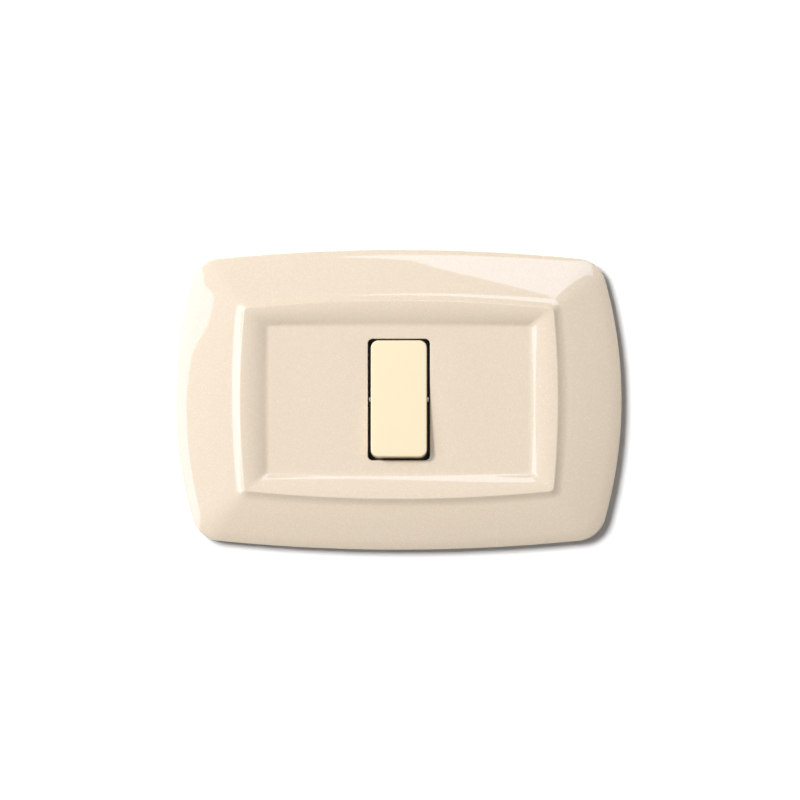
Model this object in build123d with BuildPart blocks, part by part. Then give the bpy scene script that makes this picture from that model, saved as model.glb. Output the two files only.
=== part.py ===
"""Toggle wall switch: a barrel-shaped ivory cover plate with one narrow rocker, on a mounting frame for a
rectangular wall box. Millimetres. The wall's surface is the plane Y = 0, the room is on the -Y side, +Z is up,
and the origin is the middle of the window in the wall plane. "Height" below means height above the wall, so a
height h lies at Y = -h, and what is inside the wall box has a negative height.
"""

import os
from math import cos, pi, radians, sin

from build123d import *

# --- driving dimensions -------------------------------------------------------------------------------------

# Outlines of the cover plate: half width and half height at the middle of each side, the same at the corners
# where the bowed sides would meet, and the corner's radius.
RIM_OUTLINE = (60.0, 40.45, 54.0, 37.45, 8.1)
RIDGE_OUTLINE = (42.8, 26.7, 41.6, 24.6, 1.35)
FLOOR_OUTLINE = (34.8, 19.4, 34.8, 19.4, 1.0)
RIM_SIDE = 3.0  # height of the rim's upright side
RIM_TOP = 3.4  # height where the rim's small round ends
# Slope of the outside at distances in from the rim: after the round, on the brow, at the foot of the raised
# inner frame, and at its ridge. It changes evenly between them.
SLOPES = ((0.4, 0.42), (3.6, 0.25), (14.3, 0.17), (17.2, 0.645))
FLOOR_HEIGHT = 6.2
PLATE_WALL = 1.9
WINDOW_HALF_X = 8.35
WINDOW_HALF_Z = 16.35
WINDOW_CORNER = 1.3

# Mounting frame
FRAME_HALF_X = 50.5
FRAME_HALF_Z = 30.0
FRAME_CORNER = 6.0
DECK_LOW = 1.4
DECK_TOP = 3.0
SCREW_PITCH = 83.5  # between the fixing screws of a rectangular wall box
SCREW_R = 1.75
SLOT_LENGTH = 8.0
SLOT_WIDTH = 4.2
HOOK_X = 29.0
HOOK_Z = 22.0
HOOK_WIDTH = 6.0
HOOK_THICK = 1.2
RIB_THICK = 1.2
RIB_X = (13.2, 35.4)  # where the ribs behind the deck stand: beside the module, and beyond the hooks

# Switch module
MODULE_HALF_X = 10.8
MODULE_HALF_Z = 20.8
FLANGE_TOP = 3.9
FLANGE_LIP = (1.2, 1.8)  # how far the front flange stands out past the module, along X and along Z
SHELL_CORNER = 1.0
SHELL_JOINT = -8.0  # where the front shell meets the base
DECK_OF_SHELL = 1.2
BACK_HEIGHT = -29.0
BACK_WALL = 1.7
SIDE_WALL = 1.2
RIVET_X = 7.7
RIVET_R = 1.2
POST_R = 2.1

# Rocker
PIVOT_HEIGHT = 4.3
KEY_FACE = 7.75  # height of the key's face with the rocker level
KEY_HALF_X = 7.55
KEY_HALF_Z = 15.75
KEY_CORNER = 1.35
KEY_WALL = 1.5
KEY_SKIRT_END = 2.6
TILT = 5.5  # the rocker stands this far off level, to either side
PIN_R = 1.1
PIN_HALF_LENGTH = 8.15
CHEEK_IN = 7.7
CHEEK_OUT = 8.3
CHEEK_TOP = 5.6
CHEEK_HALF_Z = 14.5
TUBE_R = 2.8
TUBE_END = -9.6
BORE_R = 1.56
BORE_TOP = 1.0
PLUNGER_R = 1.5
PLUNGER_REACH = 16.7  # from the rocker's pivot to the centre of the plunger's round tip
PLUNGER_TOP = -4.6
SPRING_R = 1.15
SPRING_WIRE_R = 0.22
SPRING_TURNS = 6

# Contacts and terminals
TIP_GAP = 0.08  # left between the parked plunger and the level contact arm
ARM_THICK = 0.8
ARM_HALF_X = 2.5
ARM_HALF_Z = 8.0
ARM_TILT = 12.0  # the contact arm stands this far off level, to either side
CONTACT_Z = 6.6
CONTACT_R = 1.6
SADDLE_R = 1.0
SADDLE_GAP = 0.05
STRIP_TOP = -18.0
STRIP_THICK = 1.0
STRIP_HALF_X = 3.5
FLANGE_Z = 11.0
FLANGE_THICK = 1.2
FLANGE_END = -27.0
TERMINAL_HALF_X = 4.9
CLAMP_OPENING = 3.0
CLAMP_THICK = 1.0
TERMINAL_SCREW_HEIGHT = -23.0
TERMINAL_HEAD_R = 3.0
TERMINAL_HEAD_THICK = 2.2
TERMINAL_SCREW_END = 8.6
WIRE_X = 3.35
WIRE_R = 1.5

ARM_FRONT = PIVOT_HEIGHT - PLUNGER_REACH - PLUNGER_R - TIP_GAP
ARM_AXIS = ARM_FRONT - ARM_THICK / 2
SADDLE_AXIS = ARM_AXIS - ARM_THICK / 2 - SADDLE_GAP - SADDLE_R

os.makedirs("parts", exist_ok=True)


# --- helpers ------------------------------------------------------------------------------------------------


def at(height):
    """The sketch plane at a height above the wall: its x is X, its y is Z, and it faces the room."""
    return Plane.XZ.offset(height)


def mix(first, second, share):
    """The outline a share of the way from the first to the second."""
    return tuple(a + (b - a) * share for a, b in zip(first, second))


def grown(outline, amount):
    """An outline moved outwards all round."""
    mid_x, mid_z, corner_x, corner_z, radius = outline
    return (mid_x + amount, mid_z + amount, corner_x + amount, corner_z + amount, max(radius + amount, 0.4))


def bowed_face(outline):
    """A sketch of the four-sided outline, whose sides bow outwards and whose corners are round."""
    mid_x, mid_z, corner_x, corner_z, radius = outline
    with BuildSketch(Plane.XY) as sketch:
        with BuildLine():
            for sign in (1, -1):
                if mid_z > corner_z:
                    ThreePointArc((-corner_x, sign * corner_z), (0, sign * mid_z), (corner_x, sign * corner_z))
                else:
                    Line((-corner_x, sign * corner_z), (corner_x, sign * corner_z))
                if mid_x > corner_x:
                    ThreePointArc((sign * corner_x, -corner_z), (sign * mid_x, 0), (sign * corner_x, corner_z))
                else:
                    Line((sign * corner_x, -corner_z), (sign * corner_x, corner_z))
        make_face()
        fillet(sketch.vertices(), radius)
    return sketch.sketch


def skin(stations):
    """A solid lofted through (outline, height) stations, with flat ends."""
    with BuildPart() as body:
        for outline, height in stations:
            with BuildSketch(at(height)):
                add(bowed_face(outline))
        loft(ruled=True)
    return body.part


def turned(shape, degrees, height):
    """A shape turned about the X direction, round the axis at a height in the middle of the switch."""
    return shape.rotate(Axis((0, -height, 0), (1, 0, 0)), degrees)


def save(shape, name):
    shape.label = name
    export_step(shape, f"parts/{name}.step")


# --- cover plate --------------------------------------------------------------------------------------------

RIM_TO_RIDGE = RIM_OUTLINE[0] - RIDGE_OUTLINE[0]
OUTER_RUNS = (0.4, 2.0, 3.6, 7.2, 10.7, 14.3, 15.7, 16.6, 17.2)
FLOOR_FILLET_RUN = 1.4  # width of the concave start of the sunk panel's slopes
FLOOR_FILLET_SHARE = 0.16  # share of the sunk panel's depth that the concave start climbs
RECESS_EASE = 0.86  # how much the slopes ease off towards the ridge: 0 is straight, 1 ends level
RECESS_STEPS = 5


def outer_height(run):
    """Height of the outside at a distance in from the rim, past the rim's small round."""
    height = RIM_TOP
    for (start, first), (end, last) in zip(SLOPES, SLOPES[1:]):
        u = min(run, end) - start
        height += first * u + (last - first) * u**2 / (end - start) / 2
        if run <= end:
            break
    return height


FOOT_RUN = SLOPES[2][0]
FOOT_HEIGHT = outer_height(FOOT_RUN)
RIDGE_HEIGHT = outer_height(RIM_TO_RIDGE)


def outer_stations():
    """The outside of the plate, from the wall to the ridge of the inner frame."""

    def station(run, height):
        return mix(RIM_OUTLINE, RIDGE_OUTLINE, run / RIM_TO_RIDGE), height

    stations = [station(0, 0), station(0, RIM_SIDE), station(0.12, RIM_SIDE + 0.22)]
    return stations + [station(run, outer_height(run)) for run in OUTER_RUNS]


def recess_stations():
    """The sunk panel inside the ridge, from its floor up to the ridge and a little past it."""
    run = RIDGE_OUTLINE[0] - FLOOR_OUTLINE[0]
    fillet_share = FLOOR_FILLET_RUN / run
    depth = RIDGE_HEIGHT - FLOOR_HEIGHT
    stations = [(FLOOR_OUTLINE, FLOOR_HEIGHT)]
    # height above the floor: a short concave start, then a slope that eases off towards the ridge
    fillet_rise = FLOOR_FILLET_SHARE * depth
    for step in range(RECESS_STEPS + 1):
        share = fillet_share + (1 - fillet_share) * step / RECESS_STEPS
        u = (share - fillet_share) / (1 - fillet_share)
        height = FLOOR_HEIGHT + fillet_rise + (depth - fillet_rise) * ((1 + RECESS_EASE) * u - RECESS_EASE * u**2)
        stations.append((mix(FLOOR_OUTLINE, RIDGE_OUTLINE, share), height))
    stations.append((RIDGE_OUTLINE, RIDGE_HEIGHT + 1))
    return stations


HOLLOW_AT_RIDGE = RIDGE_HEIGHT - PLATE_WALL
PAN_LOW = FLOOR_HEIGHT - PLATE_WALL
WINDOW_EASE = 0.35

outside = skin(outer_stations())
recess = skin(recess_stations())
hollow = skin(
    [
        (grown(RIM_OUTLINE, -PLATE_WALL), -1),
        (grown(RIM_OUTLINE, -PLATE_WALL), RIM_SIDE - 0.3),
        (grown(mix(RIM_OUTLINE, RIDGE_OUTLINE, FOOT_RUN / RIM_TO_RIDGE), -0.4), FOOT_HEIGHT - PLATE_WALL),
        (grown(RIDGE_OUTLINE, -0.3), HOLLOW_AT_RIDGE),
    ]
)
pan = skin(
    [
        (grown(FLOOR_OUTLINE, 1.2), PAN_LOW),
        (grown(mix(FLOOR_OUTLINE, RIDGE_OUTLINE, 0.8), 0), HOLLOW_AT_RIDGE),
        (grown(mix(FLOOR_OUTLINE, RIDGE_OUTLINE, 0.8), 0), HOLLOW_AT_RIDGE + 1),
    ]
)

with BuildPart() as cover_plate:
    add(outside)
    add(hollow - pan, mode=Mode.SUBTRACT)
    add(recess, mode=Mode.SUBTRACT)
    with BuildSketch(at(PAN_LOW)):
        RectangleRounded(2 * WINDOW_HALF_X, 2 * WINDOW_HALF_Z, WINDOW_CORNER)
    extrude(amount=FLOOR_HEIGHT, mode=Mode.SUBTRACT)
    window_rim = (
        cover_plate.edges()
        .filter_by_position(Axis.Y, -FLOOR_HEIGHT - 0.01, -FLOOR_HEIGHT + 0.01)
        .filter_by_position(Axis.X, -WINDOW_HALF_X - 0.1, WINDOW_HALF_X + 0.1)
    )
    fillet(window_rim, WINDOW_EASE)
    # four barbed hooks, which pass through the mounting frame and catch behind its deck
    hook_end = 0.3
    barb_low, barb_high, barb_reach = 0.9, DECK_LOW - 0.1, 0.7
    for sign_x in (-1, 1):
        for sign_z in (-1, 1):
            with BuildSketch(Plane.YZ.offset(sign_x * HOOK_X - HOOK_WIDTH / 2)):
                with BuildLine():
                    inner = sign_z * (HOOK_Z - HOOK_THICK / 2)
                    outer = sign_z * (HOOK_Z + HOOK_THICK / 2)
                    Polyline(
                        (-PAN_LOW - 1.2, inner),
                        (-hook_end, inner),
                        (-hook_end, outer),
                        (-barb_low, outer + sign_z * barb_reach),
                        (-barb_high, outer + sign_z * barb_reach),
                        (-barb_high, outer),
                        (-PAN_LOW - 1.2, outer),
                        close=True,
                    )
                make_face()
            extrude(amount=HOOK_WIDTH)
save(cover_plate.part, "cover_plate")


# --- mounting frame and its screws --------------------------------------------------------------------------

FRAME_SKIRT = 1.6
OPENING_HALF_X = MODULE_HALF_X + 0.2
OPENING_HALF_Z = MODULE_HALF_Z + 0.2
HOOK_SLOT = (HOOK_WIDTH + 1.0, HOOK_THICK + 2.0)

with BuildPart() as support_frame:
    with BuildSketch(at(0)):
        RectangleRounded(2 * FRAME_HALF_X, 2 * FRAME_HALF_Z, FRAME_CORNER)
    extrude(amount=DECK_TOP)
    front_edges = support_frame.faces().sort_by(Axis.Y)[0].edges()
    fillet(front_edges, 0.8)
    with BuildSketch(at(0)):
        RectangleRounded(
            2 * (FRAME_HALF_X - FRAME_SKIRT), 2 * (FRAME_HALF_Z - FRAME_SKIRT), FRAME_CORNER - FRAME_SKIRT
        )
    extrude(amount=DECK_LOW, mode=Mode.SUBTRACT)
    # stiffening ribs behind the deck, two beside the module and two beyond the hooks
    with BuildSketch(at(0)):
        for rib_x in RIB_X:
            with GridLocations(2 * rib_x, 0, 2, 1):
                Rectangle(RIB_THICK, 2 * FRAME_HALF_Z - 2)
    extrude(amount=DECK_LOW)
    with BuildSketch(at(0)):
        Rectangle(2 * OPENING_HALF_X, 2 * OPENING_HALF_Z)
        with GridLocations(2 * HOOK_X, 2 * (HOOK_Z + 0.35), 2, 2):
            Rectangle(*HOOK_SLOT)
        with GridLocations(SCREW_PITCH, 0, 2, 1):
            SlotOverall(SLOT_LENGTH, SLOT_WIDTH)
    extrude(amount=DECK_TOP, mode=Mode.SUBTRACT)
save(support_frame.part, "support_frame")

BOX_SCREW_LENGTH = 25.0
BOX_HEAD_R = 3.2
BOX_HEAD_THICK = 1.9
DRIVE_SLOT = (0.9, 1.1)  # width and depth of a screwdriver slot

NECK_END = 1.2  # height where the plain neck ends and the thread begins
NECK_R = 1.55

with BuildPart() as box_screws:
    with BuildSketch(at(DECK_TOP - BOX_SCREW_LENGTH)):
        with GridLocations(SCREW_PITCH, 0, 2, 1):
            Circle(SCREW_R)
    extrude(amount=BOX_SCREW_LENGTH - DECK_TOP + NECK_END)
    with BuildSketch(at(NECK_END)):
        with GridLocations(SCREW_PITCH, 0, 2, 1):
            Circle(NECK_R)
    extrude(amount=DECK_TOP - NECK_END)
    with BuildSketch(at(DECK_TOP)):
        with GridLocations(SCREW_PITCH, 0, 2, 1):
            Circle(BOX_HEAD_R)
    extrude(amount=BOX_HEAD_THICK)
    fillet(box_screws.faces().group_by(Axis.Y)[0].edges(), 0.9)
    chamfer(box_screws.faces().group_by(Axis.Y)[-1].edges(), 0.5)
    with BuildSketch(at(DECK_TOP + BOX_HEAD_THICK - DRIVE_SLOT[1])):
        with GridLocations(SCREW_PITCH, 0, 2, 1):
            Rectangle(2 * BOX_HEAD_R, DRIVE_SLOT[0], rotation=20)
    extrude(amount=2, mode=Mode.SUBTRACT)
save(box_screws.part, "box_screws")


# --- shells of the switch module ----------------------------------------------------------------------------

ROCKER_HALF_Z = 16.6
DECK_FLOOR = SHELL_JOINT + DECK_OF_SHELL
WIDE_CAVITY_TOP = -1.0

with BuildPart() as module_front:
    with BuildSketch(at(SHELL_JOINT)):
        RectangleRounded(2 * MODULE_HALF_X, 2 * MODULE_HALF_Z, SHELL_CORNER)
    extrude(amount=DECK_TOP - SHELL_JOINT)
    with BuildSketch(at(DECK_TOP)):
        RectangleRounded(
            2 * (MODULE_HALF_X + FLANGE_LIP[0]), 2 * (MODULE_HALF_Z + FLANGE_LIP[1]), SHELL_CORNER
        )
    extrude(amount=FLANGE_TOP - DECK_TOP)
    # cheeks that stand in the window beside the key
    with BuildSketch(at(FLANGE_TOP)):
        with GridLocations(CHEEK_IN + CHEEK_OUT, 0, 2, 1):
            Rectangle(CHEEK_OUT - CHEEK_IN, 2 * CHEEK_HALF_Z)
    extrude(amount=CHEEK_TOP - FLANGE_TOP)
    with BuildSketch(at(DECK_FLOOR)):
        Rectangle(2 * CHEEK_IN, 2 * ROCKER_HALF_Z)
    extrude(amount=20, mode=Mode.SUBTRACT)
    with BuildSketch(at(DECK_FLOOR)):
        Rectangle(2 * (RIVET_X + POST_R), 2 * (ROCKER_HALF_Z + 1.6))
    extrude(amount=WIDE_CAVITY_TOP - DECK_FLOOR, mode=Mode.SUBTRACT)
    # the deck lets the rocker's tube through, and the two rivets
    with BuildSketch(at(SHELL_JOINT - 1)):
        RectangleRounded(7.0, 11.0, 1.5)
        with GridLocations(2 * RIVET_X, 0, 2, 1):
            Circle(RIVET_R + 0.05)
    extrude(amount=DECK_OF_SHELL + 2, mode=Mode.SUBTRACT)
    # seats for the pivot pin, open to the front
    with BuildSketch(Plane.YZ.offset(-CHEEK_OUT)):
        with Locations((-PIVOT_HEIGHT, 0)):
            Circle(PIN_R + 0.02)
        with Locations((-PIVOT_HEIGHT - 2, 0)):
            Rectangle(4, 2 * (PIN_R + 0.02))
    extrude(amount=2 * CHEEK_OUT, mode=Mode.SUBTRACT)
    # sprung noses that catch behind the mounting frame's deck
    nose_top, nose_end, nose_reach = DECK_LOW - 0.1, -3.5, 0.9
    for sign in (-1, 1):
        with BuildSketch(Plane.YZ.offset(-4.0)):
            with BuildLine():
                Polyline(
                    (-nose_top, sign * (MODULE_HALF_Z - 0.5)),
                    (-nose_top, sign * (MODULE_HALF_Z + nose_reach)),
                    (-nose_top + 1.0, sign * (MODULE_HALF_Z + nose_reach)),
                    (-nose_end, sign * MODULE_HALF_Z),
                    (-nose_end, sign * (MODULE_HALF_Z - 0.5)),
                    close=True,
                )
            make_face()
        extrude(amount=8.0)
save(module_front.part, "module_front")

BACK_INSIDE = BACK_HEIGHT + BACK_WALL
POCKET_HALF_X = 5.2
POCKET_TOP = STRIP_TOP + 0.1
HEAD_RECESS = 1.0
HEAD_R = 2.0
WIRE_Z = FLANGE_Z + FLANGE_THICK + WIRE_R + 0.05

with BuildPart() as module_base:
    with BuildSketch(at(BACK_HEIGHT)):
        RectangleRounded(2 * MODULE_HALF_X, 2 * MODULE_HALF_Z, SHELL_CORNER)
    extrude(amount=SHELL_JOINT - BACK_HEIGHT)
    chamfer(module_base.faces().sort_by(Axis.Y)[-1].edges(), 0.8)
    # mechanism chamber, between the two terminal pockets
    with BuildSketch(at(BACK_INSIDE)):
        Rectangle(2 * (MODULE_HALF_X - SIDE_WALL), 2 * FLANGE_Z)
    extrude(amount=30, mode=Mode.SUBTRACT)
    with BuildSketch(at(STRIP_TOP - STRIP_THICK)):
        Rectangle(2 * (MODULE_HALF_X - SIDE_WALL), 2 * (MODULE_HALF_Z - SIDE_WALL))
    extrude(amount=30, mode=Mode.SUBTRACT)
    # terminal pockets, open at the upper and lower ends of the module for the screwdriver
    with BuildSketch(at(BACK_INSIDE)):
        Rectangle(2 * POCKET_HALF_X, 2 * MODULE_HALF_Z + 2)
    extrude(amount=POCKET_TOP - BACK_INSIDE, mode=Mode.SUBTRACT)
    # rivet posts
    with BuildSketch(at(BACK_INSIDE)):
        with GridLocations(2 * RIVET_X, 0, 2, 1):
            Circle(POST_R)
    extrude(amount=SHELL_JOINT - BACK_INSIDE)
    with BuildSketch(at(BACK_HEIGHT - 1)):
        with GridLocations(2 * RIVET_X, 0, 2, 1):
            Circle(RIVET_R + 0.05)
    extrude(amount=30, mode=Mode.SUBTRACT)
    with BuildSketch(at(BACK_HEIGHT)):
        with GridLocations(2 * RIVET_X, 0, 2, 1):
            Circle(HEAD_R + 0.1)
    extrude(amount=HEAD_RECESS, mode=Mode.SUBTRACT)
    # wire entries in the back, one on each side of each terminal screw
    with BuildSketch(at(BACK_HEIGHT - 1)):
        with GridLocations(2 * WIRE_X, 2 * WIRE_Z, 2, 2):
            Circle(WIRE_R)
    extrude(amount=BACK_WALL + 2, mode=Mode.SUBTRACT)
save(module_base.part, "module_base")

with BuildPart() as housing_rivets:
    with BuildSketch(at(BACK_HEIGHT + HEAD_RECESS)):
        with GridLocations(2 * RIVET_X, 0, 2, 1):
            Circle(RIVET_R)
    extrude(amount=DECK_FLOOR - BACK_HEIGHT - HEAD_RECESS)
    with BuildSketch(at(BACK_HEIGHT + 0.1)):
        with GridLocations(2 * RIVET_X, 0, 2, 1):
            Circle(HEAD_R)
    extrude(amount=HEAD_RECESS - 0.1)
    with BuildSketch(at(DECK_FLOOR)):
        with GridLocations(2 * RIVET_X, 0, 2, 1):
            Circle(HEAD_R)
    extrude(amount=0.8)
    fillet(housing_rivets.faces().group_by(Axis.Y)[0].edges(), 0.5)
    with BuildSketch(at(BACK_HEIGHT)):
        with GridLocations(2 * RIVET_X, 0, 2, 1):
            Circle(0.7)
    extrude(amount=2.0, mode=Mode.SUBTRACT)
save(housing_rivets.part, "housing_rivets")


# --- rocker, drawn level and then tilted with its upper end pressed in ---------------------------------------

KEY_EDGE = 0.9
CLIP_Z = 13.2
CLIP_THICK = 0.9
CRADLE_HALF_X = 5.9
CRADLE_HALF_Z = 12.6
CRADLE_LOW = 1.8

with BuildPart() as rocker_key:
    with BuildSketch(at(KEY_SKIRT_END)):
        RectangleRounded(2 * KEY_HALF_X, 2 * KEY_HALF_Z, KEY_CORNER)
    extrude(amount=KEY_FACE - KEY_SKIRT_END)
    fillet(rocker_key.faces().sort_by(Axis.Y)[0].edges(), KEY_EDGE)
    with BuildSketch(at(KEY_SKIRT_END)):
        Rectangle(2 * (KEY_HALF_X - 1.2), 2 * (KEY_HALF_Z - 1.2))
    extrude(amount=KEY_FACE - KEY_WALL - KEY_SKIRT_END, mode=Mode.SUBTRACT)
    # notches for the pivot pin in both side skirts
    with BuildSketch(Plane.YZ.offset(-KEY_HALF_X - 1)):
        with Locations((-PIVOT_HEIGHT, 0)):
            Circle(PIN_R + 0.2)
        with Locations((-PIVOT_HEIGHT + 2, 0)):
            Rectangle(4, 2 * (PIN_R + 0.2))
    extrude(amount=2 * KEY_HALF_X + 2, mode=Mode.SUBTRACT)
    # two clips that hold the key on the cradle
    clip_end, barb = 0.9, 0.6
    for sign in (-1, 1):
        with BuildSketch(Plane.YZ.offset(-3.0)):
            with BuildLine():
                inner, outer = sign * (CLIP_Z - CLIP_THICK / 2), sign * (CLIP_Z + CLIP_THICK / 2)
                Polyline(
                    (-KEY_FACE + KEY_WALL - 0.2, inner),
                    (-CRADLE_LOW + 0.05, inner),
                    (-CRADLE_LOW + 0.05, inner - sign * barb),
                    (-clip_end, inner),
                    (-clip_end, outer),
                    (-KEY_FACE + KEY_WALL - 0.2, outer),
                    close=True,
                )
            make_face()
        extrude(amount=6.0)
save(turned(rocker_key.part, -TILT, PIVOT_HEIGHT), "rocker_key")

with BuildPart() as rocker_cradle:
    with BuildSketch(at(CRADLE_LOW)):
        RectangleRounded(2 * CRADLE_HALF_X, 2 * CRADLE_HALF_Z, 0.8)
    extrude(amount=KEY_FACE - KEY_WALL - CRADLE_LOW)
    with BuildSketch(at(CRADLE_LOW)):
        with GridLocations(2 * 3.6, 2 * 7.2, 2, 2):
            RectangleRounded(3.2, 7.6, 0.5)
    extrude(amount=2.6, mode=Mode.SUBTRACT)
    with BuildSketch(at(TUBE_END)):
        Circle(TUBE_R)
    extrude(amount=CRADLE_LOW - TUBE_END + 0.5)
    # webs that brace the tube
    with BuildSketch(Plane.YZ.offset(-0.6)):
        with BuildLine():
            Polyline((-CRADLE_LOW - 0.2, -10), (5.0, -1.5), (5.0, 1.5), (-CRADLE_LOW - 0.2, 10), close=True)
        make_face()
    extrude(amount=1.2)
    with BuildSketch(at(TUBE_END - 1)):
        Circle(BORE_R)
    extrude(amount=BORE_TOP - TUBE_END + 1, mode=Mode.SUBTRACT)
    with BuildSketch(Plane.YZ.offset(-CRADLE_HALF_X - 1)):
        with Locations((-PIVOT_HEIGHT, 0)):
            Circle(PIN_R + 0.03)
    extrude(amount=2 * CRADLE_HALF_X + 2, mode=Mode.SUBTRACT)
save(turned(rocker_cradle.part, -TILT, PIVOT_HEIGHT), "rocker_cradle")

with BuildPart() as pivot_pin:
    with BuildSketch(Plane.YZ.offset(-PIN_HALF_LENGTH)):
        with Locations((-PIVOT_HEIGHT, 0)):
            Circle(PIN_R)
    extrude(amount=2 * PIN_HALF_LENGTH)
    chamfer(pivot_pin.edges().filter_by(GeomType.CIRCLE), 0.15)
save(pivot_pin.part, "pivot_pin")

TIP_CENTRE = PIVOT_HEIGHT - PLUNGER_REACH

with BuildPart() as plunger:
    with BuildSketch(Plane.XY):
        with BuildLine():
            Polyline((0, -TIP_CENTRE), (0, -PLUNGER_TOP), (PLUNGER_R, -PLUNGER_TOP), (PLUNGER_R, -TIP_CENTRE))
            ThreePointArc(
                (PLUNGER_R, -TIP_CENTRE),
                (PLUNGER_R * sin(pi / 4), -TIP_CENTRE + PLUNGER_R * sin(pi / 4)),
                (0, -TIP_CENTRE + PLUNGER_R),
            )
            Line((0, -TIP_CENTRE + PLUNGER_R), (0, -TIP_CENTRE))
        make_face()
    revolve(axis=Axis.Y)
save(turned(plunger.part, -TILT, PIVOT_HEIGHT), "plunger")

spring_low = PLUNGER_TOP + SPRING_WIRE_R
spring_length = BORE_TOP - PLUNGER_TOP - 2 * SPRING_WIRE_R
with BuildPart() as plunger_spring:
    with BuildLine():
        coil = Helix(
            pitch=spring_length / SPRING_TURNS,
            height=spring_length,
            radius=SPRING_R,
            center=(0, -spring_low, 0),
            direction=(0, -1, 0),
        )
    with BuildSketch(Plane(origin=coil @ 0, z_dir=coil % 0)):
        Circle(SPRING_WIRE_R)
    sweep(is_frenet=True)
save(turned(plunger_spring.part, -TILT, PIVOT_HEIGHT), "plunger_spring")


# --- contact arm, drawn level and then tilted with its lower end at the back ---------------------------------

RIVET_HEAD = 0.8
RIVET_STEM_R = 0.8

with BuildPart() as contact_arm:
    with BuildSketch(at(ARM_AXIS - ARM_THICK / 2)):
        RectangleRounded(2 * ARM_HALF_X, 2 * ARM_HALF_Z, 1.2)
        with Locations((0, CONTACT_Z)):
            Circle(RIVET_STEM_R, mode=Mode.SUBTRACT)
    extrude(amount=ARM_THICK)
save(turned(contact_arm.part, ARM_TILT, ARM_AXIS), "contact_arm")

with BuildPart() as moving_contact:
    arm_back = ARM_AXIS - ARM_THICK / 2
    with BuildSketch(at(arm_back - RIVET_HEAD)):
        with Locations((0, CONTACT_Z)):
            Circle(CONTACT_R)
    extrude(amount=RIVET_HEAD)
    fillet(moving_contact.faces().sort_by(Axis.Y)[-1].edges(), 0.5)
    with BuildSketch(at(arm_back)):
        with Locations((0, CONTACT_Z)):
            Circle(RIVET_STEM_R)
    extrude(amount=ARM_THICK)
    with BuildSketch(at(arm_back + ARM_THICK)):
        with Locations((0, CONTACT_Z)):
            Circle(RIVET_STEM_R + 0.35)
    extrude(amount=0.35)
save(turned(moving_contact.part, ARM_TILT, ARM_AXIS), "moving_contact")


# --- terminals ----------------------------------------------------------------------------------------------

EAR_IN = ARM_HALF_X + 0.25
EAR_THICK = 0.8
STOP_Z = -6.4
STOP_R = 0.8
STOP_GAP = 0.08


def terminal_brass(sign, strip_from):
    """A terminal's strip towards the contacts, and the flange that the wire is clamped on."""
    span = FLANGE_Z + FLANGE_THICK - strip_from
    with BuildPart() as brass:
        with BuildSketch(at(STRIP_TOP - STRIP_THICK)):
            with Locations((0, sign * (strip_from + span / 2))):
                Rectangle(2 * STRIP_HALF_X, span)
        extrude(amount=STRIP_THICK)
        with BuildSketch(at(FLANGE_END)):
            with Locations((0, sign * (FLANGE_Z + FLANGE_THICK / 2))):
                Rectangle(2 * TERMINAL_HALF_X, FLANGE_THICK)
        extrude(amount=STRIP_TOP - FLANGE_END)
        with BuildSketch(Plane.XY.offset(sign * (FLANGE_Z - 1))):
            with Locations((0, -TERMINAL_SCREW_HEIGHT)):
                Circle(SCREW_R + 0.03)
        extrude(amount=sign * (FLANGE_THICK + 2), mode=Mode.SUBTRACT)
    return brass.part


with BuildPart() as line_terminal:
    add(terminal_brass(-1, -2.0))
    # saddle under the contact arm, its two ears, and the stop for the arm's lower end
    with BuildSketch(Plane.YZ.offset(-2.2)):
        with Locations((-SADDLE_AXIS, 0)):
            Circle(SADDLE_R)
        with Locations(((-SADDLE_AXIS - STRIP_TOP) / 2, 0)):
            Rectangle(SADDLE_AXIS - STRIP_TOP, 2 * SADDLE_R)
    extrude(amount=4.4)
    stop_axis = ARM_AXIS - (ARM_THICK / 2 + STOP_R + STOP_GAP - STOP_Z * sin(radians(ARM_TILT))) / cos(
        radians(ARM_TILT)
    )
    with BuildSketch(Plane.YZ.offset(-1.8)):
        with Locations((-stop_axis, STOP_Z)):
            Circle(STOP_R)
        with Locations(((-stop_axis - STRIP_TOP) / 2, STOP_Z)):
            Rectangle(stop_axis - STRIP_TOP, 2 * STOP_R)
    extrude(amount=3.6)
    with BuildSketch(at(STRIP_TOP)):
        with GridLocations(2 * EAR_IN + EAR_THICK, 0, 2, 1):
            Rectangle(EAR_THICK, 3.0)
    extrude(amount=ARM_AXIS + 1.2 - STRIP_TOP)
save(line_terminal.part, "line_terminal")

# where the moving contact's face arrives when the arm is tilted the other way
reach = ARM_THICK / 2 + RIVET_HEAD
closed_depth = reach * cos(radians(ARM_TILT)) + CONTACT_Z * sin(radians(ARM_TILT))
closed_z = CONTACT_Z * cos(radians(ARM_TILT)) - reach * sin(radians(ARM_TILT))
CLOSED_GAP = 0.03
fixed_low = 0.7  # the rivet's stem through the strip

with BuildPart() as load_terminal:
    add(terminal_brass(1, closed_z - CONTACT_R - 0.4))
    with BuildSketch(at(STRIP_TOP - 2)):
        with Locations((0, closed_z)):
            Circle(fixed_low)
    extrude(amount=3, mode=Mode.SUBTRACT)
save(load_terminal.part, "load_terminal")

with BuildPart() as fixed_contact:
    with BuildSketch(at(STRIP_TOP)):
        with Locations((0, closed_z)):
            Circle(CONTACT_R)
    extrude(amount=ARM_AXIS - closed_depth - CLOSED_GAP - STRIP_TOP - 0.25)
    fillet(fixed_contact.faces().sort_by(Axis.Y)[0].edges(), 0.3)
    with BuildSketch(at(STRIP_TOP - STRIP_THICK)):
        with Locations((0, closed_z)):
            Circle(fixed_low)
    extrude(amount=STRIP_THICK)
save(fixed_contact.part, "fixed_contact")


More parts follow.
